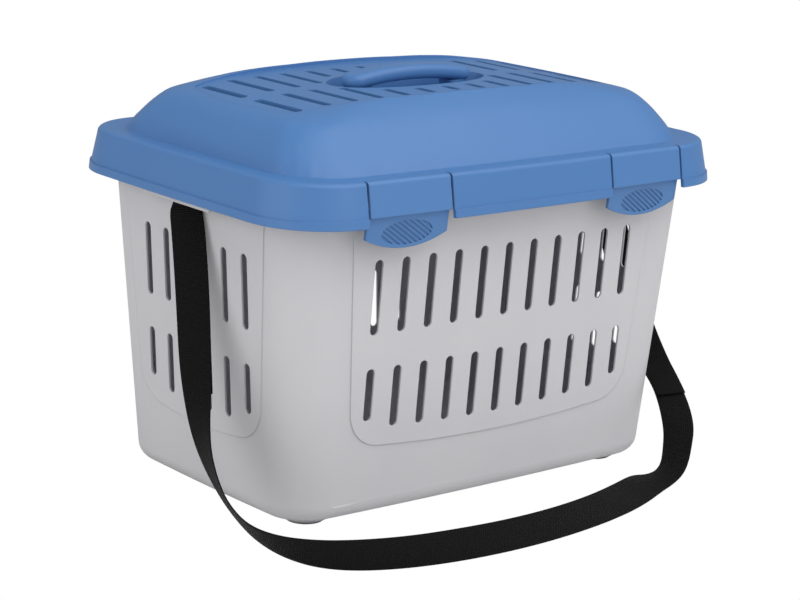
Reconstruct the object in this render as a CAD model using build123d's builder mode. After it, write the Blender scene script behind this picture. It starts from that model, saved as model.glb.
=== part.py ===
from build123d import *
import os
from math import cos, hypot, pi, sin, sqrt

# Small animal carrier: slotted tub, domed lid on a rear hinge, two front latch flaps,
# carrying handle in a recess, shoulder strap held at both short sides.
# Millimetres. Origin on the floor under the middle of the tub, +Z up, front towards -Y.

# Outlines: every level is a rounded rectangle whose sides bow gently outward
side_bow = 2.5
front_bow = 4.1
wall = 1.8
lid_wall = 2.2

# Tub
foot_rise = 5.6
base_length = 373.2
base_width = 234.8
rim_length = 406.2
rim_width = 267.4
tub_corner = 37.0
base_edge = 14.0
floor_thickness = 3.0
flange_top = 260.0
flange_thickness = 2.2
flange_length = 422.0
flange_width = 293.0
flange_corner = 50.0

# Slots in the tub's walls
slot_pitch = 25.0
slot_width = 7.5
front_slots = 11
side_slots = 6
upper_slot_bottom = 149.2
upper_slot_top = 206.5
lower_slot_top = 123.0
slot_margin = 14.5
outer_slot_rise = 5.0
left_row_shift = -2.0
right_row_shift = 4.0

# Raised panel round the slots
panel_rise = 0.9
panel_corner = 30.0
panel_lean = 0.068
front_panel_half = 141.0
front_panel_bottom = 56.8
front_panel_smile = 0.0004
side_panel_half = 80.0
side_panel_bottom = 59.5
side_panel_smile = 0.0013
panel_datum = 91.0

# Feet
foot_x = 149.4
foot_y = 81.5
foot_diameter = 35.2
pad_diameter = 30.0
pad_height = 2.4
pad_peg_diameter = 8.0
pad_peg_height = 2.0
pad_clearance = 0.2

# Lid
lip_bottom = 238.1
lip_height = 6.2
lip_length = 440.8
lip_width = 317.8
lip_corner = 59.3
lip_step = 1.8
shelf_top = 270.3
shelf_length = 427.8
shelf_width = 305.4
shelf_corner = 55.0
skirt_edge = 3.5
crown_top = 316.5
deck_length = 338.6
deck_width = 169.0
deck_rim = 1.8
deck_side_bow = 11.8
deck_front_bow = 16.0
deck_corner = 9.0
deck_border = 10.0

# Slots in the lid's deck
deck_slots = 13
deck_slot_width = 7.0
deck_slot_start = 6.5
deck_slot_longest = 20.0

# Handle and its recess
recess_length = 150.0
recess_width = 72.0
recess_floor = 287.0
recess_taper = 6.0
recess_slot_gap = 8.0
recess_end_gap = 3.0
handle_length = 122.0
handle_overhang = 7.0
handle_width = 23.0
handle_top = 324.0
handle_arch_length = 150.0
handle_arch_rise = 8.8
handle_thickness = 11.5
handle_leg = 15.0
handle_leg_gap = 1.5
handle_leg_corner = 5.0
handle_edge = 5.2
handle_end_corner = 10.5
handle_clearance = 0.3
peg_diameter = 7.0
peg_reach = 5.0
peg_head = 9.0
peg_head_height = 1.8

# Latch flaps
latch_centre = 118.0
latch_length = 74.0
latch_gap = 2.0
latch_shelf = 7.0
latch_line = 0.4
latch_block_bottom = 244.6
grip_corner_z = 228.0
grip_bottom = 219.2
grip_thickness = 2.4
grip_setback = 2.0
grip_overlap = 6.0
grip_foot_length = 432.0
grip_foot_width = 300.6
grip_dish_length = 46.0
grip_dish_height = 18.0
grip_dish_centre = 230.8
grip_dish_depth = 0.9
grip_ribs = 9
grip_rib_width = 1.5
grip_rib_pitch = 5.4
grip_rib_tilt = 35.0
hook_length = 50.0
hook_height = 3.0
hook_clearance = 0.6
mark_sink = 0.5

# Rear hinge
hinge_y = 147.0
hinge_z = 246.0
hinge_centre = 100.0
hinge_barrel = 8.0
hinge_pin_diameter = 4.0
hinge_pin_clearance = 0.15
hinge_lid_length = 24.0
hinge_arm_length = 9.0
hinge_arm_root = 14.0
hinge_side_gap = 0.5
hinge_pin_head = 6.6
hinge_pin_head_height = 1.5
rest_rib = 2.4
rest_rib_depth = 6.0
rest_rib_y = 143.5
rest_rib_pitch = 60.0
rest_ribs = 3
rest_gap = 0.3

# Strap holders on the short sides
holder_length = 88.0
holder_bottom = 234.6
holder_wall = 2.0
holder_gap = 1.2
holder_window = 38.0
strap_bar_diameter = 3.6
strap_bar_x = 207.2
strap_bar_z = 251.0

# Strap
strap_width = 25.0
strap_thickness = 1.5
strap_fit = 0.2
strap_y = -4.0

# Centre line of the strap and the way from its lower edge to its upper edge,
# from the left holder, round the front of the tub on the floor, to the right holder
strap_route = [
    ((-209.95, -4, 243), (0, -1, 0)),
    ((-209.6, -5, 237), (0.25, -0.97, 0)),
    ((-210.2, -6, 233), (0.36, -0.93, 0)),
    ((-212.3, -8, 228), (0.55, -0.83, 0.03)),
    ((-213, -12, 217), (0.65, -0.75, 0.10)),
    ((-216, -21, 192), (0.73, -0.67, 0.13)),
    ((-220, -31, 160), (0.66, -0.74, 0.17)),
    ((-226, -43, 126), (0.54, -0.81, 0.23)),
    ((-231, -55, 101), (0.34, -0.87, 0.37)),
    ((-236, -67, 80), (0.05, -0.84, 0.55)),
    ((-239, -80, 62), (-0.24, -0.74, 0.63)),
    ((-240, -96, 45), (-0.44, -0.58, 0.67)),
    ((-240, -113, 32), (-0.58, -0.48, 0.66)),
    ((-237, -134, 21), (-0.58, -0.45, 0.68)),
    ((-227, -156, 15), (-0.43, -0.38, 0.82)),
    ((-211, -178, 13), (-0.22, -0.25, 0.94)),
    ((-188, -196, 13), (-0.09, -0.12, 0.99)),
    ((-153, -210, 13), (-0.03, -0.04, 1.00)),
    ((-112, -218, 13), (0, 0.05, 1.00)),
    ((-68, -222, 13), (0, 0.06, 1.00)),
    ((-22, -221, 13), (0, 0.10, 0.99)),
    ((23, -215, 13), (-0.03, 0.20, 0.98)),
    ((61, -205, 12.5), (-0.12, 0.42, 0.90)),
    ((92, -192, 10.5), (-0.30, 0.66, 0.68)),
    ((117, -179, 7.5), (-0.40, 0.83, 0.38)),
    ((138, -171, 5), (-0.42, 0.90, 0.10)),
    ((155, -165, 6), (-0.40, 0.90, -0.12)),
    ((168, -158, 11), (-0.40, 0.85, -0.30)),
    ((178, -150, 19.5), (-0.50, 0.80, -0.32)),
    ((188, -141, 30), (-0.62, 0.72, -0.20)),
    ((196, -129, 40), (-0.72, 0.66, -0.05)),
    ((204, -114, 50), (-0.80, 0.58, 0.05)),
    ((210, -99, 59), (-0.82, 0.56, 0.08)),
    ((213, -82, 71), (-0.78, 0.60, 0.05)),
    ((214, -63, 94), (-0.70, 0.70, -0.05)),
    ((214, -42, 132), (-0.55, 0.82, -0.10)),
    ((213, -24, 178), (-0.42, 0.90, -0.10)),
    ((211, -11, 216), (-0.38, 0.92, -0.05)),
    ((209.5, -5, 236), (-0.20, 0.98, 0)),
    ((209.95, -4, 243), (0, 1, 0)),
]
tail_stations = 8
tail_gap = 0.5
loop_steps = 6

# Derived levels
peg_spacing = handle_length - 2 * handle_overhang - handle_leg
tub_bottom = foot_rise
flange_bottom = flange_top - flange_thickness
lip_top = lip_bottom + lip_height
shelf_bottom = shelf_top - lid_wall
skirt_foot_length = lip_length - 2 * lip_step
skirt_foot_width = lip_width - 2 * lip_step
skirt_foot_corner = lip_corner - lip_step
lid_reach = lip_width
pin_radius = hinge_pin_diameter / 2
barrel_radius = hinge_barrel / 2
latch_pivot_y = shelf_width / 2 - latch_shelf
lug_reach = shelf_width / 2 - hinge_y + 1

# Dome: height, length, width, corner radius, bow of the ends, bow of the long sides
dome_levels = [
    (270.3, 393.4, 271.0, 44, 2.5, 4.1),
    (281.1, 385.6, 252.0, 38, 3.5, 6.0),
    (292.0, 371.0, 230.6, 30, 4.5, 7.0),
    (298.5, 360.0, 217.2, 26, 5.0, 8.0),
    (303.3, 347.0, 206.6, 24, 5.0, 9.0),
    (307.6, 313.0, 194.4, 22, 4.0, 10.0),
    (311.5, 261.0, 181.4, 16, 3.0, 7.0),
    (314.4, 198.0, 171.0, 12, 3.0, 4.0),
    (316.3, 124.0, 163.8, 12, 3.0, 2.0),
]

# Places at which the dome's height is worked out, from the middle outward
dome_grid_x = [0, 30, 60, 90, 115, 135, 150, 161, 170, 177, 183, 188.5, 193, 197, 201, 206]
dome_grid_y = [0, 30, 55, 72, 82, 90, 97, 104, 111, 118, 125, 132, 139, 146]
dome_tolerance = 0.1

# Hollow inside the dome: same columns, kept under the deck and inside the dome
hollow_levels = [
    (267.0, 390.6, 268.2, 42, 2.5, 4.1),
    (269.0, 390.6, 268.2, 42, 2.5, 4.1),
    (279.1, 382.8, 249.2, 36, 3.5, 6.0),
    (290.0, 368.2, 225.6, 28, 4.5, 7.0),
    (296.5, 352.0, 212.8, 25, 5.0, 8.0),
    (301.3, 322.0, 202.2, 23, 5.0, 9.0),
    (305.6, 268.0, 190.6, 20, 4.0, 10.0),
    (309.4, 120.0, 176.6, 16, 3.0, 7.0),
]

# Long profile of the sunken deck: distance from the middle, drop below the crown
deck_drops = [(0, 3.7), (75, 4.8), (125, 6.6), (150, 9.6), (169, 13.2), (200, 22.0)]


def bowed_outline(height, length, width, corner, bow_x=side_bow, bow_y=front_bow):
    """Rounded rectangle at a height, whose four sides are shallow outward arcs."""
    half_x = length / 2
    half_y = width / 2
    corner_x = half_x - bow_x
    corner_y = half_y - bow_y
    with BuildSketch(Plane.XY.offset(height)) as outline:
        with BuildLine():
            ThreePointArc((corner_x, -corner_y), (half_x, 0), (corner_x, corner_y))
            ThreePointArc((corner_x, corner_y), (0, half_y), (-corner_x, corner_y))
            ThreePointArc((-corner_x, corner_y), (-half_x, 0), (-corner_x, -corner_y))
            ThreePointArc((-corner_x, -corner_y), (0, -half_y), (corner_x, -corner_y))
        make_face()
        fillet(vertices(), corner)
    return outline.sketch


def bowed_body(low, high, mode=Mode.ADD):
    """Straight-sided body between two levels, each (height, length, width, corner)."""
    loft([bowed_outline(*low), bowed_outline(*high)], ruled=True, mode=mode)


def tub_level(height, inset=0.0):
    """Outline of the tub at a height, moved inward by inset."""
    share = (height - tub_bottom) / (flange_top - tub_bottom)
    length = base_length + (rim_length - base_length) * share - 2 * inset
    width = base_width + (rim_width - base_width) * share - 2 * inset
    return (height, length, width, tub_corner - inset)


def skirt_level(height, inset=0.0):
    """Outline of the lid's skirt at a height, moved inward by inset."""
    share = (height - lip_top) / (shelf_top - lip_top)
    length = skirt_foot_length + (shelf_length - skirt_foot_length) * share - 2 * inset
    width = skirt_foot_width + (shelf_width - skirt_foot_width) * share - 2 * inset
    corner = skirt_foot_corner + (shelf_corner - skirt_foot_corner) * share - inset
    return (height, length, width, corner)


def depth_inside(x, y, length, width, corner, bow_x, bow_y):
    """How far a point lies inside a bowed outline, negative outside."""
    gap_x = length / 2 - bow_x * (y / (width / 2 - bow_y)) ** 2 - abs(x)
    gap_y = width / 2 - bow_y * (x / (length / 2 - bow_x)) ** 2 - abs(y)
    if gap_x < corner and gap_y < corner:
        return corner - hypot(corner - gap_x, corner - gap_y)
    return min(gap_x, gap_y)


def dome_height(x, y):
    """Height of the dome over a point, read between the two levels that it lies between."""
    depths = [depth_inside(x, y, *shape) for height, *shape in dome_levels]
    outside = [index for index, depth in enumerate(depths) if depth < 0]
    if not outside:
        return dome_levels[-1][0]
    upper = max(outside[0], 1)
    share = depths[upper - 1] / (depths[upper - 1] - depths[upper])
    return dome_levels[upper - 1][0] + (dome_levels[upper][0] - dome_levels[upper - 1][0]) * share


def arched_slab(drops):
    """Slab across the lid whose top is a long profile below the crown."""
    points = [(x, crown_top - drop) for x, drop in drops]
    end_x, end_z = points[-1]
    with BuildSketch(Plane.XZ) as profile:
        with BuildLine():
            Spline([(-x, z) for x, z in reversed(points[1:])] + points)
            Polyline((end_x, end_z), (end_x, flange_top), (-end_x, flange_top), (-end_x, end_z))
        make_face()
    extrude(profile.sketch, amount=lip_width / 2, both=True)


def row_positions(count, pitch):
    """Centred positions of a row of equal pitch."""
    return [(index - (count - 1) / 2) * pitch for index in range(count)]


def wall_slots(plane, count, bottom, smile, shift=0.0, both=True):
    """Cut both slot rows through the wall in front of the plane, or through the opposite one too."""
    with BuildSketch(plane) as slots:
        for place in row_positions(count, slot_pitch):
            outermost = abs(place) > (count / 2 - 1) * slot_pitch
            low = bottom + smile * place ** 2 + slot_margin + (outer_slot_rise if outermost else 0)
            for start, end in ((low, lower_slot_top), (upper_slot_bottom, upper_slot_top)):
                with Locations((place + shift, (start + end) / 2)):
                    SlotOverall(end - start, slot_width, rotation=90)
    extrude(slots.sketch, amount=lip_length, both=both, mode=Mode.SUBTRACT)


def panel_face(plane, half, bottom, smile):
    """Outline of a raised wall panel: leaning sides, rounded lower corners, smiling foot."""
    top_half = half + panel_lean * (flange_bottom - panel_datum)
    foot_half = half - panel_lean * (panel_datum - bottom)
    corner_z = bottom + smile * foot_half ** 2
    with BuildSketch(plane) as face:
        with BuildLine():
            ThreePointArc((-foot_half, corner_z), (0, bottom), (foot_half, corner_z))
            Polyline((foot_half, corner_z), (top_half, flange_bottom), (-top_half, flange_bottom),
                     (-foot_half, corner_z))
        make_face()
        fillet(face.vertices().sort_by(Axis.Y)[:2], panel_corner)
    return face.sketch


def wall_panels(plane, half, bottom, smile, inset):
    """Body of the tub moved inward by inset, kept only inside the panel's outline."""
    with BuildPart() as skin:
        bowed_body(tub_level(tub_bottom + base_edge, inset), tub_level(flange_bottom, inset))
        extrude(panel_face(plane, half, bottom, smile), amount=lip_length, both=True,
                mode=Mode.INTERSECT)
    return skin.part


def holder(side):
    """Strap holder on one short side: rail, four cheeks and the bar that the strap goes round."""
    slope = (skirt_level(lip_top)[1] - skirt_level(shelf_bottom)[1]) / 2 / (shelf_bottom - lip_top)
    rail_top = skirt_level(flange_top)[1] / 2 - lid_wall - holder_gap
    rail_foot = rail_top + slope * (flange_top - holder_bottom)
    inner = rim_length / 2 - wall / 2
    with BuildPart() as frame:
        with BuildSketch(Plane.XZ):
            with BuildLine():
                Polyline((side * inner, holder_bottom + 6), (side * rail_foot, holder_bottom),
                         (side * rail_top, flange_top), (side * inner, flange_top), close=True)
            make_face()
        extrude(amount=holder_length / 2, both=True)
        for middle, length in ((0, holder_window), (-1, 0), (1, 0)):
            reach = (holder_length - holder_window) / 2 - 2 * holder_wall
            centre = middle * (holder_window / 2 + holder_wall + reach / 2)
            with BuildSketch(Plane.XZ.offset(-centre)):
                with BuildLine():
                    Polyline((0, holder_bottom - 10),
                             (side * (rail_foot + slope * 10 - holder_wall), holder_bottom - 10),
                             (side * (rail_top + slope * 3 - holder_wall), flange_bottom),
                             (0, flange_bottom), close=True)
                make_face()
            extrude(amount=(length or reach) / 2, both=True, mode=Mode.SUBTRACT)
        with BuildSketch(Plane.XZ):
            with Locations((side * strap_bar_x, strap_bar_z)):
                Circle(strap_bar_diameter / 2)
        extrude(amount=holder_window / 2 + holder_wall / 2, both=True)
    return frame.part


# Tub
front_panel = (Plane.XZ, front_panel_half, front_panel_bottom, front_panel_smile)
side_panel = (Plane.YZ, side_panel_half, side_panel_bottom, side_panel_smile)

with BuildPart() as cavity:
    bowed_body(tub_level(tub_bottom + floor_thickness, wall), tub_level(flange_top + 1, wall))
    fillet(faces().sort_by(Axis.Z)[0].edges(), base_edge - wall)
    add(wall_panels(*front_panel, wall - panel_rise))
    add(wall_panels(*side_panel, wall - panel_rise))

with BuildPart() as tub:
    bowed_body(tub_level(tub_bottom), tub_level(flange_top))
    fillet(faces().sort_by(Axis.Z)[0].edges(), base_edge)
    add(wall_panels(*front_panel, -panel_rise))
    add(wall_panels(*side_panel, -panel_rise))
    bowed_body((flange_bottom, flange_length, flange_width, flange_corner),
               (flange_top, flange_length, flange_width, flange_corner))
    for hand in (-1, 1):
        add(holder(hand))
    for hinge_x in (-hinge_centre, hinge_centre):
        for arm_side in (-1, 1):
            arm_x = hinge_x + arm_side * (hinge_lid_length / 2 + hinge_side_gap + hinge_arm_length / 2)
            with BuildSketch(Plane.YZ.offset(arm_x)):
                with Locations((hinge_y, hinge_z)):
                    Circle(barrel_radius)
                with Locations((hinge_y - barrel_radius / 4, (hinge_z + flange_top) / 2)):
                    Rectangle(barrel_radius * 1.5, flange_top - hinge_z)
                with Locations((hinge_y - hinge_arm_root / 2 + 2, flange_bottom + flange_thickness / 2)):
                    Rectangle(hinge_arm_root, flange_thickness)
            extrude(amount=hinge_arm_length / 2, both=True)
    add(cavity.part, mode=Mode.SUBTRACT)
    wall_slots(Plane.XZ, front_slots, front_panel_bottom, front_panel_smile)
    wall_slots(Plane.YZ, side_slots, side_panel_bottom, side_panel_smile, right_row_shift, False)
    wall_slots(Plane(origin=(0, 0, 0), x_dir=(0, -1, 0), z_dir=(-1, 0, 0)), side_slots,
               side_panel_bottom, side_panel_smile, -left_row_shift, False)
    with BuildSketch(Plane.YZ):
        with Locations((hinge_y, hinge_z)):
            Circle(pin_radius + hinge_pin_clearance)
    extrude(amount=base_length / 2, both=True, mode=Mode.SUBTRACT)
    with BuildSketch(Plane.XY.offset(pad_height)):
        with GridLocations(2 * foot_x, 2 * foot_y, 2, 2):
            Circle(foot_diameter / 2)
    extrude(amount=tub_bottom - pad_height + floor_thickness / 2)
    with BuildSketch(Plane.XY.offset(pad_height)):
        with GridLocations(2 * foot_x, 2 * foot_y, 2, 2):
            Circle(pad_peg_diameter / 2 + pad_clearance)
    extrude(amount=pad_peg_height + pad_clearance, mode=Mode.SUBTRACT)
tub.part.label = "tub"

# Foot pads
pads = {}
for x_name, x_sign in (("left", -1), ("right", 1)):
    for y_name, y_sign in (("front", -1), ("rear", 1)):
        with BuildPart() as pad:
            with BuildSketch():
                with Locations((x_sign * foot_x, y_sign * foot_y)):
                    Circle(pad_diameter / 2)
            extrude(amount=pad_height)
            chamfer(edges().filter_by(GeomType.CIRCLE).sort_by(Axis.Z)[0], 0.8)
            with BuildSketch(Plane.XY.offset(pad_height)):
                with Locations((x_sign * foot_x, y_sign * foot_y)):
                    Circle(pad_peg_diameter / 2)
            extrude(amount=pad_peg_height)
        pad.part.label = f"foot_pad_{y_name}_{x_name}"
        pads[pad.part.label] = pad.part

# Lid
with BuildPart() as deck_plate:
    arched_slab(deck_drops)

with BuildPart() as dome:
    columns = [-x for x in dome_grid_x[:0:-1]] + dome_grid_x
    rows = [-y for y in dome_grid_y[:0:-1]] + dome_grid_y
    points = [[(x, y, dome_height(x, y)) for y in rows] for x in columns]
    skin = Face.make_surface_from_array_of_points(points, tol=dome_tolerance)
    extrude(skin, amount=2 * (crown_top - shelf_bottom), dir=(0, 0, -1))
    with Locations((0, 0, (shelf_bottom + crown_top) / 2)):
        Box(lip_length, lip_width, crown_top - shelf_bottom, mode=Mode.INTERSECT)

with BuildPart() as dome_hollow:
    loft([bowed_outline(*level) for level in hollow_levels], ruled=True)

with BuildPart() as deck_cut:
    extrude(bowed_outline(shelf_top, deck_length - 2 * deck_rim, deck_width - 2 * deck_rim, deck_corner,
                          deck_side_bow, deck_front_bow), amount=crown_top - shelf_top + 5)
    add(deck_plate.part, mode=Mode.SUBTRACT)

with BuildPart() as skirt:
    bowed_body(skirt_level(lip_top - 1), skirt_level(shelf_top))
    fillet(faces().sort_by(Axis.Z)[-1].edges(), skirt_edge)
    bowed_body((lip_bottom, lip_length, lip_width, lip_corner),
               (lip_top, lip_length - 1, lip_width - 1, lip_corner))

with BuildPart() as skirt_hollow:
    bowed_body((lip_bottom - 1, lip_length - 2 * lid_wall - 1, lip_width - 2 * lid_wall - 1,
                lip_corner - lid_wall), skirt_level(shelf_bottom, lid_wall))

with BuildPart() as lid:
    add(skirt.part)
    add(dome.part)
    add(skirt_hollow.part, mode=Mode.SUBTRACT)
    add(dome_hollow.part, mode=Mode.SUBTRACT)
    add(deck_cut.part, mode=Mode.SUBTRACT)
    with BuildSketch(Plane.XY.offset(recess_floor - lid_wall)):
        Ellipse(recess_length / 2 - recess_taper + lid_wall, recess_width / 2 - recess_taper + lid_wall)
    with BuildSketch(Plane.XY.offset(crown_top - deck_drops[0][1] - lid_wall / 2)):
        Ellipse(recess_length / 2 + lid_wall, recess_width / 2 + lid_wall)
    loft()
    with BuildSketch(Plane.XY.offset(recess_floor)):
        Ellipse(recess_length / 2 - recess_taper, recess_width / 2 - recess_taper)
    with BuildSketch(Plane.XY.offset(crown_top - deck_drops[0][1] + 1)):
        Ellipse(recess_length / 2, recess_width / 2)
    loft(mode=Mode.SUBTRACT)
    with BuildSketch(Plane.XY.offset(recess_floor - lid_wall)):
        with GridLocations(peg_spacing, handle_width / 2, 2, 2):
            Circle(peg_diameter / 2 + handle_clearance)
    extrude(amount=lid_wall, mode=Mode.SUBTRACT)
    with BuildSketch(Plane.XY.offset(recess_floor)):
        for slot_x in row_positions(deck_slots, slot_pitch):
            clear_x = recess_length / 2 + recess_end_gap
            clear_y = recess_width / 2 + recess_slot_gap
            start = clear_y * sqrt(max(1 - (slot_x / clear_x) ** 2, 0))
            start = max(start, deck_slot_start)
            end = deck_width / 2 - deck_border - deck_front_bow * (2 * slot_x / deck_length) ** 2
            end = min(end, clear_y + deck_slot_longest)
            with Locations((slot_x, (start + end) / 2), (slot_x, -(start + end) / 2)):
                SlotOverall(end - start, deck_slot_width, rotation=90)
    extrude(amount=crown_top - recess_floor, mode=Mode.SUBTRACT)
    for hand in (-1, 1):
        with Locations((hand * latch_centre, -lid_reach / 2, lip_bottom)):
            Box(latch_length + 2 * latch_gap, lid_reach - 2 * latch_pivot_y, 2 * (crown_top - lip_bottom),
                mode=Mode.SUBTRACT)
    for lug_x in (-hinge_centre, hinge_centre):
        with BuildSketch(Plane.YZ.offset(lug_x)):
            with Locations((hinge_y, hinge_z)):
                Circle(barrel_radius)
            with Locations((hinge_y + lug_reach / 2, hinge_z)):
                Rectangle(lug_reach, hinge_barrel)
        extrude(amount=hinge_lid_length / 2, both=True)
    with BuildSketch(Plane.YZ):
        with Locations((hinge_y, hinge_z)):
            Circle(pin_radius + hinge_pin_clearance)
    extrude(amount=hinge_centre + hinge_lid_length, both=True, mode=Mode.SUBTRACT)
    for rib_x in row_positions(rest_ribs, rest_rib_pitch):
        for rib_y in (-rest_rib_y, rest_rib_y):
            with Locations((rib_x, rib_y, (flange_top + rest_gap + shelf_top) / 2 - lid_wall / 4)):
                Box(rest_rib, rest_rib_depth, shelf_top - flange_top - rest_gap - lid_wall / 2)
lid.part.label = "lid"

# Handle: a fat arched bar whose ends stand past its two legs, pegged through the recess floor
with BuildPart() as handle:
    with BuildSketch(Plane.XZ):
        with BuildLine():
            half = handle_arch_length / 2
            arch_foot = handle_top - handle_arch_rise
            ThreePointArc((-half, arch_foot), (0, handle_top), (half, arch_foot))
            Line((half, arch_foot), (half, arch_foot - handle_thickness))
            ThreePointArc((half, arch_foot - handle_thickness), (0, handle_top - handle_thickness),
                          (-half, arch_foot - handle_thickness))
            Line((-half, arch_foot - handle_thickness), (-half, arch_foot))
        make_face()
    extrude(amount=handle_width / 2, both=True)
    with BuildSketch(Plane.XY.offset(recess_floor)):
        RectangleRounded(handle_length, handle_width, handle_end_corner)
    extrude(amount=handle_top, mode=Mode.INTERSECT)
    fillet(edges().filter_by(lambda edge: abs(edge.tangent_at(0.5).Z) < 0.5), handle_edge)
    for hand in (-1, 1):
        with BuildSketch(Plane.XY.offset(recess_floor)):
            with Locations((hand * peg_spacing / 2, 0)):
                RectangleRounded(handle_leg, handle_width - 2 * handle_leg_gap, handle_leg_corner)
        extrude(amount=arch_foot - handle_thickness / 2 - recess_floor)
    with BuildSketch(Plane.XY.offset(recess_floor)):
        with GridLocations(peg_spacing, handle_width / 2, 2, 2):
            Circle(peg_diameter / 2)
    extrude(amount=-peg_reach)
    with BuildSketch(Plane.XY.offset(recess_floor - peg_reach)):
        with GridLocations(peg_spacing, handle_width / 2, 2, 2):
            Circle(peg_head / 2)
    extrude(amount=peg_head_height)
handle.part.label = "handle"


def latch_window(block_x, low, high, length=latch_length):
    """Box over one latch, kept clear of the lid's shelf by the hinge line."""
    with BuildPart() as window:
        with Locations((block_x, -lid_reach / 2 - latch_line, (low + high) / 2)):
            Box(length, lid_reach - 2 * latch_pivot_y, high - low)
    return window.part


def grip_band(outer_inset, inner_inset):
    """Band that hangs below the skirt, following its curve and leaning inward."""
    top = latch_block_bottom + grip_overlap
    foot = grip_bottom - 1
    with BuildPart() as band:
        bowed_body((foot, grip_foot_length - 2 * outer_inset, grip_foot_width - 2 * outer_inset,
                    lip_corner), skirt_level(top, grip_setback + outer_inset))
        bowed_body((foot, grip_foot_length - 2 * inner_inset, grip_foot_width - 2 * inner_inset,
                    lip_corner), skirt_level(top, grip_setback + inner_inset), mode=Mode.SUBTRACT)
    return band.part


def grip_plate(block_x):
    """Grip plate of one latch with its bowed lower edge."""
    half = latch_length / 2
    top = latch_block_bottom + grip_overlap
    with BuildPart() as plate:
        add(grip_band(0, grip_thickness))
        with BuildSketch(Plane.XZ):
            with BuildLine():
                Polyline((block_x - half, grip_corner_z), (block_x - half, top),
                         (block_x + half, top), (block_x + half, grip_corner_z))
                ThreePointArc((block_x + half, grip_corner_z), (block_x, grip_bottom),
                              (block_x - half, grip_corner_z))
            make_face()
        extrude(amount=lid_reach, mode=Mode.INTERSECT)
    return plate.part


def grip_dish(block_x):
    """Oval dish in the grip plate, less the slanting ribs that are left standing in it."""
    with BuildPart() as dish:
        add(grip_band(-mark_sink, grip_dish_depth))
        with BuildSketch(Plane.XZ) as oval:
            with Locations((block_x, grip_dish_centre)):
                Ellipse(grip_dish_length / 2, grip_dish_height / 2)
                with GridLocations(grip_rib_pitch, 0, grip_ribs, 1):
                    Rectangle(2 * grip_dish_height, grip_rib_width, rotation=-grip_rib_tilt,
                              mode=Mode.SUBTRACT)
        extrude(oval.sketch, amount=lid_reach, mode=Mode.INTERSECT)
    return dish.part


def skirt_shelf(low, high, outer, inner):
    """Level ring between two outlines, used for the latch's ledge and hook."""
    with BuildPart() as ring:
        bowed_body((low, *outer), (high, *outer))
        bowed_body((low, *inner), (high, *inner), mode=Mode.SUBTRACT)
    return ring.part


# Latch flaps: cut from the skirt's own shape, with a grip plate set back below
# and a hook that reaches under the tub's flange
latches = {}
for side_name, hand in (("left", -1), ("right", 1)):
    block_x = hand * latch_centre
    hook_top = flange_bottom - hook_clearance
    hook_reach = (flange_length + 2 * hook_clearance, flange_width + 2 * hook_clearance, flange_corner)
    with BuildPart() as ledge:
        add(skirt_shelf(latch_block_bottom, latch_block_bottom + lid_wall,
                        skirt_level(latch_block_bottom + lid_wall, mark_sink)[1:],
                        skirt_level(latch_block_bottom, grip_setback + grip_thickness)[1:]))
        add(latch_window(block_x, latch_block_bottom, crown_top), mode=Mode.INTERSECT)
    with BuildPart() as hook:
        add(skirt_shelf(hook_top - hook_height, hook_top, skirt_level(hook_top, lid_wall / 2)[1:],
                        hook_reach))
        add(latch_window(block_x, latch_block_bottom, crown_top, hook_length), mode=Mode.INTERSECT)
    with BuildPart() as latch:
        add(skirt.part)
        add(skirt_hollow.part, mode=Mode.SUBTRACT)
        add(latch_window(block_x, latch_block_bottom, crown_top), mode=Mode.INTERSECT)
        add(ledge.part)
        add(hook.part)
        add(grip_plate(block_x))
        add(grip_dish(block_x), mode=Mode.SUBTRACT)
    latch.part.label = f"latch_{side_name}"
    latches[latch.part.label] = latch.part

# Hinge pins
pins = {}
for side_name, hand in (("left", -1), ("right", 1)):
    reach = hinge_lid_length / 2 + hinge_side_gap + hinge_arm_length
    with BuildPart() as pin:
        with BuildSketch(Plane.YZ.offset(hand * hinge_centre - reach)):
            with Locations((hinge_y, hinge_z)):
                Circle(pin_radius)
        extrude(amount=2 * reach + hinge_side_gap)
        with BuildSketch(Plane.YZ.offset(hand * hinge_centre - reach - hinge_side_gap / 2)):
            with Locations((hinge_y, hinge_z)):
                Circle(hinge_pin_head / 2)
        extrude(amount=-hinge_pin_head_height)
        with BuildSketch(Plane.YZ.offset(hand * hinge_centre - reach)):
            with Locations((hinge_y, hinge_z)):
                Circle(pin_radius)
        extrude(amount=-hinge_side_gap)
    pin.part.label = f"hinge_pin_{side_name}"
    pins[pin.part.label] = pin.part


def strap_frame(index):
    """Centre, direction along the strap and direction across it at one station."""
    centre, across = strap_route[index]
    before = Vector(strap_route[max(index - 1, 0)][0])
    after = Vector(strap_route[min(index + 1, len(strap_route) - 1)][0])
    if index in (0, len(strap_route) - 1):
        along = Vector(0, 0, -1 if index == 0 else 1)
    else:
        along = (after - before).normalized()
    return Vector(centre), along, Vector(across)


def ribbon(frames):
    """Webbing through stations, straight from one to the next."""
    sections = []
    for centre, along, across in frames:
        with BuildSketch(Plane(origin=centre, x_dir=across, z_dir=along)) as section:
            Rectangle(strap_width, strap_thickness)
        sections.append(section.sketch)
    loft(sections, ruled=True)


# Shoulder strap, from the left loop to the right loop
with BuildPart() as strap:
    ribbon([strap_frame(index) for index in range(len(strap_route))])
strap.part.label = "shoulder_strap"

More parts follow.
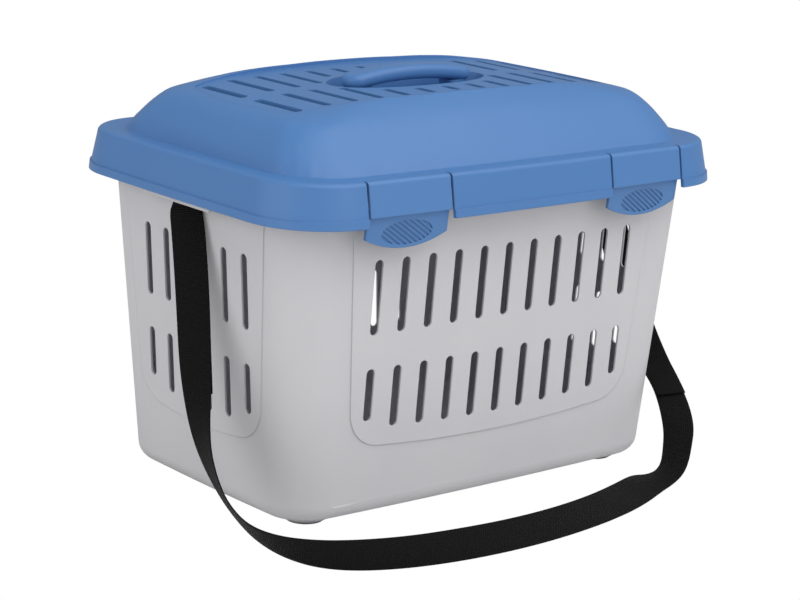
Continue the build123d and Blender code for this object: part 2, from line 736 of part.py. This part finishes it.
# Strap ends: from the strap's end up, round the holder's bar, and down behind the strap
# as the sewn tail
ends = {}
loop_radius = strap_bar_diameter / 2 + strap_fit + strap_thickness / 2
loop_foot = strap_route[0][0][2]
for side_name, hand in (("left", -1), ("right", 1)):
    first = 0 if hand < 0 else len(strap_route) - 1
    edge = Vector(0, hand, 0)
    frames = [(Vector(hand * (strap_bar_x + loop_radius), strap_y, loop_foot), Vector(0, 0, 1), edge)]
    for step in range(loop_steps + 1):
        turn = pi * step / loop_steps
        centre = Vector(hand * (strap_bar_x + loop_radius * cos(turn)), strap_y,
                        strap_bar_z + loop_radius * sin(turn))
        frames.append((centre, Vector(-hand * sin(turn), 0, cos(turn)), edge))
    frames.append((Vector(hand * (strap_bar_x - loop_radius), strap_y, loop_foot), Vector(0, 0, -1), edge))
    for step in range(1, tail_stations + 1):
        centre, along, across = strap_frame(first - hand * step)
        inward = across.cross(along).normalized() * -hand
        frames.append((centre + inward * (strap_thickness + tail_gap), along * -hand, across))
    with BuildPart() as end:
        ribbon(frames)
    end.part.label = f"strap_end_{side_name}"
    ends[end.part.label] = end.part

os.makedirs("parts", exist_ok=True)
for group in ([tub.part, lid.part, handle.part, strap.part], latches.values(), pins.values(),
              pads.values(), ends.values()):
    for solid in group:
        export_step(solid, f"parts/{solid.label}.step")
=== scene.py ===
import math
import bpy
import numpy as np
from mathutils import Matrix


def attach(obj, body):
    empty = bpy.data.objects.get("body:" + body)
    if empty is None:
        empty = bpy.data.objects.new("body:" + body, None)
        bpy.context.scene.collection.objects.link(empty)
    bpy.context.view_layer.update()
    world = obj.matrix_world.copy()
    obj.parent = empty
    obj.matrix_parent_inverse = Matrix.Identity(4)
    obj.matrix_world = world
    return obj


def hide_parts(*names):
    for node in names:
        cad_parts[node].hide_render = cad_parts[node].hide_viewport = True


# Looks of a small animal carrier: slotted grey tub, domed blue lid, webbing shoulder strap.
# Metres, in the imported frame: origin on the floor under the tub, +Z up, front towards -Y.

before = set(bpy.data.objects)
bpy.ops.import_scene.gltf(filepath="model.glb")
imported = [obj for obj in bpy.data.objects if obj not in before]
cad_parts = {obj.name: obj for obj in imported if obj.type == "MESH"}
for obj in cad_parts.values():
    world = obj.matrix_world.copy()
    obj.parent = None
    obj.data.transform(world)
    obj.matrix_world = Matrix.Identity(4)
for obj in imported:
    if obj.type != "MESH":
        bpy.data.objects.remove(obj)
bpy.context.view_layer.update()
scene = bpy.context.scene
scene.view_settings.view_transform = "Standard"


# Camera: place, turn and lens solved from the carrier's level edges in the photograph

camera_place = np.array([-1.20041, -1.44770, 0.60101])
camera_yaw = math.radians(39.735)
camera_pitch = math.radians(-13.982)
camera_roll = math.radians(2.375)
camera_lens = 108.59
film_width = 36.0
view_depth = 50.0

forward = np.array([math.sin(camera_yaw) * math.cos(camera_pitch),
                    math.cos(camera_yaw) * math.cos(camera_pitch), math.sin(camera_pitch)])
level = np.array([math.cos(camera_yaw), -math.sin(camera_yaw), 0.0])
upright = np.cross(level, forward)
right = level * math.cos(camera_roll) + upright * math.sin(camera_roll)
above = upright * math.cos(camera_roll) - level * math.sin(camera_roll)

camera = bpy.data.objects.new("camera", bpy.data.cameras.new("camera"))
camera.data.lens = camera_lens
camera.data.sensor_width = film_width
camera.data.clip_end = view_depth
scene.collection.objects.link(camera)
camera_stand = np.eye(4)
camera_stand[:3, :3] = np.column_stack([right, above, -forward])
camera_stand[:3, 3] = camera_place
camera.matrix_world = Matrix(camera_stand.tolist())
scene.camera = camera


# Materials

# Radius that the mould leaves on the plastic's edges
edge_radius = 0.0009
edge_samples = 6

# Noise scales per metre: flow clouds 60 mm across, and grain whose real pits are 0.15 mm,
# drawn at 0.6 mm so that it shows
flow_scale = 16.0
grain_scale = 1600.0
grain_depth = 0.0002
polypropylene_ior = 1.49

rubber_speck_scale = 900.0
rubber_pit_depth = 0.0002
rubber_roughness = 0.75

# Webbing: weft ribs along its length, warp yarns across its width
weft_pitch = 0.00175
warp_pitch = 0.0018
warp_share = 0.45
# relief at which the painted rib highlight and the painted hollow shade reach their ends
relief_limit = 1.4
weave_depth = 0.0004
yarn_fuzz_scale = 900.0
webbing_roughness = 0.6
webbing_ior = 1.45
webbing_specular = 0.22


def linear(code):
    """sRGB hex colour as linear red, green, blue and alpha."""
    part = np.array([int(code[i:i + 2], 16) for i in (0, 2, 4)]) / 255.0
    light = np.where(part <= 0.04045, part / 12.92, ((part + 0.055) / 1.055) ** 2.4)
    return (*light.tolist(), 1.0)


def put(tree, kind, settings=(), **links):
    """Adds one node. Settings go to its own properties, and links to its sockets, by name or,
    after an underscore, by number: each is joined to another node's socket or set to a value."""
    node = tree.nodes.new(kind)
    for key, value in dict(settings).items():
        setattr(node, key, value)
    for key, value in links.items():
        socket = node.inputs[int(key[1:])] if key[1:].isdigit() else node.inputs[key.replace("_", " ")]
        if isinstance(value, bpy.types.NodeSocket):
            tree.links.new(value, socket)
        else:
            socket.default_value = value
    return node


def blank(name):
    """New material and its emptied node tree."""
    material = bpy.data.materials.new(name)
    material.use_nodes = True
    material.node_tree.nodes.clear()
    return material, material.node_tree


def moulded_polypropylene(name, colour, shade, roughness):
    """Polypropylene from a spark-eroded mould: satin, with a fine even grain, faint flow clouds
    and edges that catch the light as the mould's small radii do."""
    material, tree = blank(name)
    place = put(tree, "ShaderNodeTexCoord").outputs["Object"]
    cloud = put(tree, "ShaderNodeTexNoise", Vector=place, Scale=flow_scale, Detail=2.0).outputs["Fac"]
    grain = put(tree, "ShaderNodeTexNoise", Vector=place, Scale=grain_scale, Detail=1.0).outputs["Fac"]
    tint = put(tree, "ShaderNodeMix", {"data_type": "RGBA"}, _0=cloud, _6=linear(colour), _7=linear(shade))
    gloss = put(tree, "ShaderNodeMapRange", Value=grain, _3=roughness - 0.04, _4=roughness + 0.05)
    soft_edge = put(tree, "ShaderNodeBevel", {"samples": edge_samples}, Radius=edge_radius)
    pits = put(tree, "ShaderNodeBump", Height=grain, Strength=0.10, Distance=grain_depth,
               Normal=soft_edge.outputs[0])
    skin = put(tree, "ShaderNodeBsdfPrincipled", Base_Color=tint.outputs[2], Roughness=gloss.outputs[0],
               IOR=polypropylene_ior, Normal=pits.outputs[0])
    put(tree, "ShaderNodeOutputMaterial", Surface=skin.outputs[0])
    return material


def rubber_pad(name):
    """Thermoplastic rubber: matt, soft mid grey."""
    material, tree = blank(name)
    place = put(tree, "ShaderNodeTexCoord").outputs["Object"]
    speck = put(tree, "ShaderNodeTexNoise", Vector=place, Scale=rubber_speck_scale, Detail=2.0).outputs["Fac"]
    tint = put(tree, "ShaderNodeMix", {"data_type": "RGBA"}, _0=speck, _6=linear("8f8e92"),
               _7=linear("a09fa3"))
    pits = put(tree, "ShaderNodeBump", Height=speck, Strength=0.2, Distance=rubber_pit_depth)
    skin = put(tree, "ShaderNodeBsdfPrincipled", Base_Color=tint.outputs[2], Roughness=rubber_roughness,
               IOR=1.5, Normal=pits.outputs[0])
    put(tree, "ShaderNodeOutputMaterial", Surface=skin.outputs[0])
    return material


def yarn_wave(tree, distance, pitch):
    """Sine of a distance over the webbing, one wave for each yarn."""
    angle = put(tree, "ShaderNodeMath", {"operation": "MULTIPLY"}, _0=distance, _1=2 * math.pi / pitch)
    return put(tree, "ShaderNodeMath", {"operation": "SINE"}, _0=angle.outputs[0]).outputs[0]


def woven_webbing(name):
    """Polypropylene webbing: near black, dull, with weft ribs crossed by warp yarns, the ribs' tops painted
    lighter as painted highlight and the hollows between yarns darker as painted shade.
    """
    material, tree = blank(name)
    run = put(tree, "ShaderNodeUVMap", {"uv_map": "weave"}).outputs["UV"]
    split = put(tree, "ShaderNodeSeparateXYZ", Vector=run)
    weft = yarn_wave(tree, split.outputs["X"], weft_pitch)
    warp = yarn_wave(tree, split.outputs["Y"], warp_pitch)
    relief = put(tree, "ShaderNodeMath", {"operation": "MULTIPLY_ADD"}, _0=warp, _1=warp_share, _2=weft)
    fuzz = put(tree, "ShaderNodeTexNoise", Vector=run, Scale=yarn_fuzz_scale, Detail=3.0).outputs["Fac"]
    # painted light and shade: the weave's high points get the lighter black and its hollows the darker,
    # standing in for the sheen on the ribs and the shade between yarns; the fuzz below adds random flecks
    tint = put(tree, "ShaderNodeMapRange", Value=relief.outputs[0], _1=-relief_limit, _2=relief_limit)
    shade = put(tree, "ShaderNodeMix", {"data_type": "RGBA"}, _0=tint.outputs[0], _6=linear("040404"),
                _7=linear("11100f"))
    rib_shading_and_fleck = put(tree, "ShaderNodeMix", {"data_type": "RGBA", "blend_type": "MULTIPLY"}, _0=0.5,
                _6=shade.outputs[2], _7=fuzz)
    weave = put(tree, "ShaderNodeBump", Height=relief.outputs[0], Strength=0.8, Distance=weave_depth)
    skin = put(tree, "ShaderNodeBsdfPrincipled", Base_Color=rib_shading_and_fleck.outputs[2], Roughness=webbing_roughness,
               IOR=webbing_ior, Normal=weave.outputs[0])
    skin.inputs["Specular IOR Level"].default_value = webbing_specular
    put(tree, "ShaderNodeOutputMaterial", Surface=skin.outputs[0])
    return material


tub_plastic = moulded_polypropylene("moulded polypropylene, light grey", "cbcacd", "c5c4c8", 0.46)
lid_plastic = moulded_polypropylene("moulded polypropylene, blue", "4a79b2", "4776af", 0.40)
# the latches are the lid's own blue painted a little lighter: painted sheen standing in for the extra light
# they catch
latch_plastic_painted_lighter = moulded_polypropylene("moulded polypropylene, blue painted lighter for the latches", "4c7bb3", "4978b0", 0.40)
pad_rubber = rubber_pad("thermoplastic rubber, grey")
strap_webbing = woven_webbing("woven polypropylene webbing, black")

node_finish = {"tub": tub_plastic, "lid": lid_plastic, "handle": lid_plastic, "latch_left": latch_plastic_painted_lighter,
               "latch_right": latch_plastic_painted_lighter, "hinge_pin_left": tub_plastic, "hinge_pin_right": tub_plastic,
               "foot_pad_front_left": pad_rubber, "foot_pad_front_right": pad_rubber,
               "foot_pad_rear_left": pad_rubber, "foot_pad_rear_right": pad_rubber}
for name, material in node_finish.items():
    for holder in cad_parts[name].material_slots:
        holder.material = material


# Strap: flat webbing laid along its route

strap_width = 0.025
strap_thickness = 0.0015

# Webbing's cross section: points round it, powers of the cosine across and of the sine through it,
# squarer the smaller they are, and how much thicker the selvedge is than the middle
section_points = 40
width_power = 0.35
thickness_power = 0.5
selvedge_share = 0.12
selvedge_power = 8

# Stations of the centre line in millimetres, each with the direction across the webbing, from
# the left holder round the front of the tub on the floor to the right holder
strap_route = np.array([
    (-209.95, -4, 243, 0, -1, 0), (-209.6, -5, 237, 0.25, -0.97, 0), (-210.2, -6, 233, 0.36, -0.93, 0),
    (-212.3, -8, 228, 0.55, -0.83, 0.03), (-213, -12, 217, 0.65, -0.75, 0.10),
    (-216, -21, 192, 0.73, -0.67, 0.13), (-220, -31, 160, 0.66, -0.74, 0.17),
    (-226, -43, 126, 0.54, -0.81, 0.23), (-231, -55, 101, 0.34, -0.87, 0.37),
    (-236, -67, 80, 0.05, -0.84, 0.55), (-239, -80, 62, -0.24, -0.74, 0.63),
    (-240, -96, 45, -0.44, -0.58, 0.67), (-240, -113, 32, -0.58, -0.48, 0.66),
    (-237, -134, 21, -0.58, -0.45, 0.68), (-227, -156, 15, -0.43, -0.38, 0.82),
    (-211, -178, 13, -0.22, -0.25, 0.94), (-188, -196, 13, -0.09, -0.12, 0.99),
    (-153, -210, 13, -0.03, -0.04, 1.00), (-112, -218, 13, 0, 0.05, 1.00),
    (-68, -222, 13, 0, 0.06, 1.00), (-22, -221, 13, 0, 0.10, 0.99), (23, -215, 13, -0.03, 0.20, 0.98),
    (61, -205, 12.5, -0.12, 0.42, 0.90), (92, -192, 10.5, -0.30, 0.66, 0.68),
    (117, -179, 7.5, -0.40, 0.83, 0.38), (138, -171, 5, -0.42, 0.90, 0.10),
    (155, -165, 6, -0.40, 0.90, -0.12), (168, -158, 11, -0.40, 0.85, -0.30),
    (178, -150, 19.5, -0.50, 0.80, -0.32), (188, -141, 30, -0.62, 0.72, -0.20),
    (196, -129, 40, -0.72, 0.66, -0.05), (204, -114, 50, -0.80, 0.58, 0.05),
    (210, -99, 59, -0.82, 0.56, 0.08), (213, -82, 71, -0.78, 0.60, 0.05),
    (214, -63, 94, -0.70, 0.70, -0.05), (214, -42, 132, -0.55, 0.82, -0.10),
    (213, -24, 178, -0.42, 0.90, -0.10), (211, -11, 216, -0.38, 0.92, -0.05),
    (209.5, -5, 236, -0.20, 0.98, 0), (209.95, -4, 243, 0, 1, 0)])
strap_centre = strap_route[:, :3] / 1000.0
strap_edge = strap_route[:, 3:] / np.linalg.norm(strap_route[:, 3:], axis=1, keepdims=True)


def smooth_line(points, steps=12):
    """Points read from the second-degree NURBS whose control points these are."""
    curve = bpy.data.curves.new("route", "CURVE")
    curve.dimensions = "3D"
    curve.resolution_u = steps
    spline = curve.splines.new("NURBS")
    spline.points.add(len(points) - 1)
    spline.points.foreach_set("co", np.column_stack([points, np.ones(len(points))]).ravel())
    spline.order_u = 3
    spline.use_endpoint_u = True
    holder = bpy.data.objects.new("route", curve)
    line = bpy.data.meshes.new_from_object(holder)
    found = np.empty(len(line.vertices) * 3)
    line.vertices.foreach_get("co", found)
    bpy.data.objects.remove(holder)
    bpy.data.curves.remove(curve)
    bpy.data.meshes.remove(line)
    return found.reshape(-1, 3)


def surface_piece(name, grid, material, uv=None, closed_around=False, closed_ends=False):
    """Mesh from a grid of points: rows run along, columns run around or across."""
    rows, columns = grid.shape[:2]
    index = np.arange(rows * columns).reshape(rows, columns)
    across = columns if closed_around else columns - 1
    near = index[:-1, :across]
    far = index[1:, :across]
    near_next = np.roll(index, -1, axis=1)[:-1, :across]
    far_next = np.roll(index, -1, axis=1)[1:, :across]
    quads = np.stack([near, near_next, far_next, far], axis=-1).reshape(-1, 4)
    faces = quads.tolist()
    if closed_ends:
        faces += [index[0, ::-1].tolist(), index[-1].tolist()]
    mesh = bpy.data.meshes.new(name)
    mesh.from_pydata(grid.reshape(-1, 3).tolist(), [], faces)
    if uv is not None:
        layer = mesh.uv_layers.new(name="weave")
        corner = np.empty(len(mesh.loops), dtype=int)
        mesh.loops.foreach_get("vertex_index", corner)
        layer.data.foreach_set("uv", uv.reshape(-1, 2)[corner].ravel())
    mesh.polygons.foreach_set("use_smooth", np.ones(len(mesh.polygons), dtype=bool))
    mesh.materials.append(material)
    piece = bpy.data.objects.new(name, mesh)
    scene.collection.objects.link(piece)
    return piece


def webbing(name, centre, edge):
    """Flat webbing along a line: at each station a rounded slab, half its width along the edge
    direction and half its thickness along the normal, with a slightly fuller woven selvedge."""
    tangent = np.gradient(centre, axis=0)
    tangent /= np.linalg.norm(tangent, axis=1, keepdims=True)
    side = edge - tangent * np.sum(edge * tangent, axis=1, keepdims=True)
    side /= np.linalg.norm(side, axis=1, keepdims=True)
    normal = np.cross(tangent, side)
    turn = np.linspace(0, 2 * np.pi, section_points, endpoint=False)
    reach = np.sign(np.cos(turn)) * np.abs(np.cos(turn)) ** width_power
    fullness = 1 - selvedge_share + selvedge_share * np.abs(reach) ** selvedge_power
    rise = np.sign(np.sin(turn)) * np.abs(np.sin(turn)) ** thickness_power * fullness
    grid = (centre[:, None] + side[:, None] * (reach * strap_width / 2)[None, :, None]
            + normal[:, None] * (rise * strap_thickness / 2)[None, :, None])
    length = np.concatenate([[0], np.cumsum(np.linalg.norm(np.diff(centre, axis=0), axis=1))])
    uv = np.stack(np.broadcast_arrays(length[:, None], (reach * strap_width / 2)[None, :]), axis=-1)
    return surface_piece(name, grid, strap_webbing, uv, closed_around=True, closed_ends=True)


strap_line = smooth_line(strap_centre)
strap_side = smooth_line(strap_centre + strap_edge * strap_width / 2) - strap_line
strap = webbing("strap", strap_line, strap_side)
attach(strap, "tub_body")
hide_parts("shoulder_strap")

# Looped ends: up from the strap, round the holder's bar and down behind the strap
bar_x = 0.2072
bar_y = -0.004
bar_z = 0.251
loop_radius = 0.00275
loop_start_z = 0.243
loop_return_z = 0.245
loop_points = 9
tail_stations = 8
tail_depth = 0.002
for side_name, hand in (("left", -1), ("right", 1)):
    around = np.linspace(0, np.pi, loop_points)
    arc = np.column_stack([hand * (bar_x + loop_radius * np.cos(around)), np.full(loop_points, bar_y),
                           bar_z + loop_radius * np.sin(around)])
    first = np.array([[hand * (bar_x + loop_radius), bar_y, loop_start_z]])
    last = np.array([[hand * (bar_x - loop_radius), bar_y, loop_return_z]])
    # the tail runs beside the strap's stations next to this holder, counted from its end
    order = slice(1, tail_stations + 1) if hand < 0 else slice(-2, -2 - tail_stations, -1)
    run = strap_centre[order]
    run_edge = strap_edge[order]
    tangent = np.gradient(run, axis=0)
    back = np.cross(tangent, run_edge) * (1 if hand < 0 else -1)
    back /= np.linalg.norm(back, axis=1, keepdims=True)
    back *= np.sign(-hand * back[:, :1])
    points = np.vstack([first, arc, last, run + back * tail_depth])
    edges = np.vstack([np.tile([[0.0, hand, 0.0]], (loop_points + 2, 1)), run_edge])
    line = smooth_line(points)
    loop = webbing(f"strap_loop_{side_name}", line, smooth_line(points + edges * strap_width / 2) - line)
    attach(loop, "tub_body")
    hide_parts(f"strap_end_{side_name}")


# Studio: a matt floor that the camera sees as pure white, an even tent and three soft lights

white = (1, 1, 1, 1)
floor_reach = 3.0
floor_lines = 13

floor_material, tree = blank("matt studio floor")
ray = put(tree, "ShaderNodeLightPath")
matt = put(tree, "ShaderNodeBsdfDiffuse", Color=linear("d8d8d8"))
glow = put(tree, "ShaderNodeEmission", Color=white, Strength=1.0)
both = put(tree, "ShaderNodeMixShader", Fac=ray.outputs["Is Camera Ray"], _1=matt.outputs[0],
           _2=glow.outputs[0])
put(tree, "ShaderNodeOutputMaterial", Surface=both.outputs[0])

lines = np.linspace(-floor_reach, floor_reach, floor_lines)
floor_x, floor_y = np.meshgrid(lines, lines, indexing="ij")
floor = surface_piece("floor", np.stack([floor_x, floor_y, np.zeros_like(floor_x)], axis=-1), floor_material)
floor.data.flip_normals()

# The tent's light, and how much dimmer it is in reflections, both matched to the photograph
tent_light = 0.62
reflection_drop = 0.34

world = bpy.data.worlds.new("studio")
scene.world = world
world.use_nodes = True
world.node_tree.nodes.clear()
tree = world.node_tree
ray = put(tree, "ShaderNodeLightPath")
seen = put(tree, "ShaderNodeMath", {"operation": "MAXIMUM"}, _0=ray.outputs["Is Camera Ray"],
           _1=ray.outputs["Is Transmission Ray"])
dimmer = put(tree, "ShaderNodeMath", {"operation": "MULTIPLY_ADD"}, _0=ray.outputs["Is Glossy Ray"],
             _1=-reflection_drop, _2=tent_light)
level_light = put(tree, "ShaderNodeBackground", Color=white, Strength=dimmer.outputs[0])
white_back = put(tree, "ShaderNodeBackground", Color=white, Strength=1.0)
mixed = put(tree, "ShaderNodeMixShader", Fac=seen.outputs[0], _1=level_light.outputs[0],
            _2=white_back.outputs[0])
put(tree, "ShaderNodeOutputWorld", Surface=mixed.outputs[0])


def softbox(name, place, aim, width, height, power):
    """Rectangular area lamp at a place, turned to face a point."""
    lamp = bpy.data.lights.new(name, "AREA")
    lamp.shape = "RECTANGLE"
    lamp.size = width
    lamp.size_y = height
    lamp.energy = power
    back = np.array(place) - np.array(aim)
    back /= np.linalg.norm(back)
    sideways = np.cross([0.0, 0.0, 1.0], back)
    sideways /= np.linalg.norm(sideways)
    stand = np.eye(4)
    stand[:3, :3] = np.column_stack([sideways, np.cross(back, sideways), back])
    stand[:3, 3] = place
    holder = bpy.data.objects.new(name, lamp)
    holder.matrix_world = Matrix(stand.tolist())
    scene.collection.objects.link(holder)


softbox("overhead softbox", (0.2, -1.0, 1.9), (0.0, 0.0, 0.2), 3.2, 2.0, 31.0)
softbox("front softbox", (0.3, -2.6, 1.0), (0.0, 0.0, 0.15), 1.6, 1.2, 7.5)
softbox("left softbox", (-2.5, 0.2, 1.0), (0.0, 0.0, 0.15), 2.8, 1.8, 15.0)
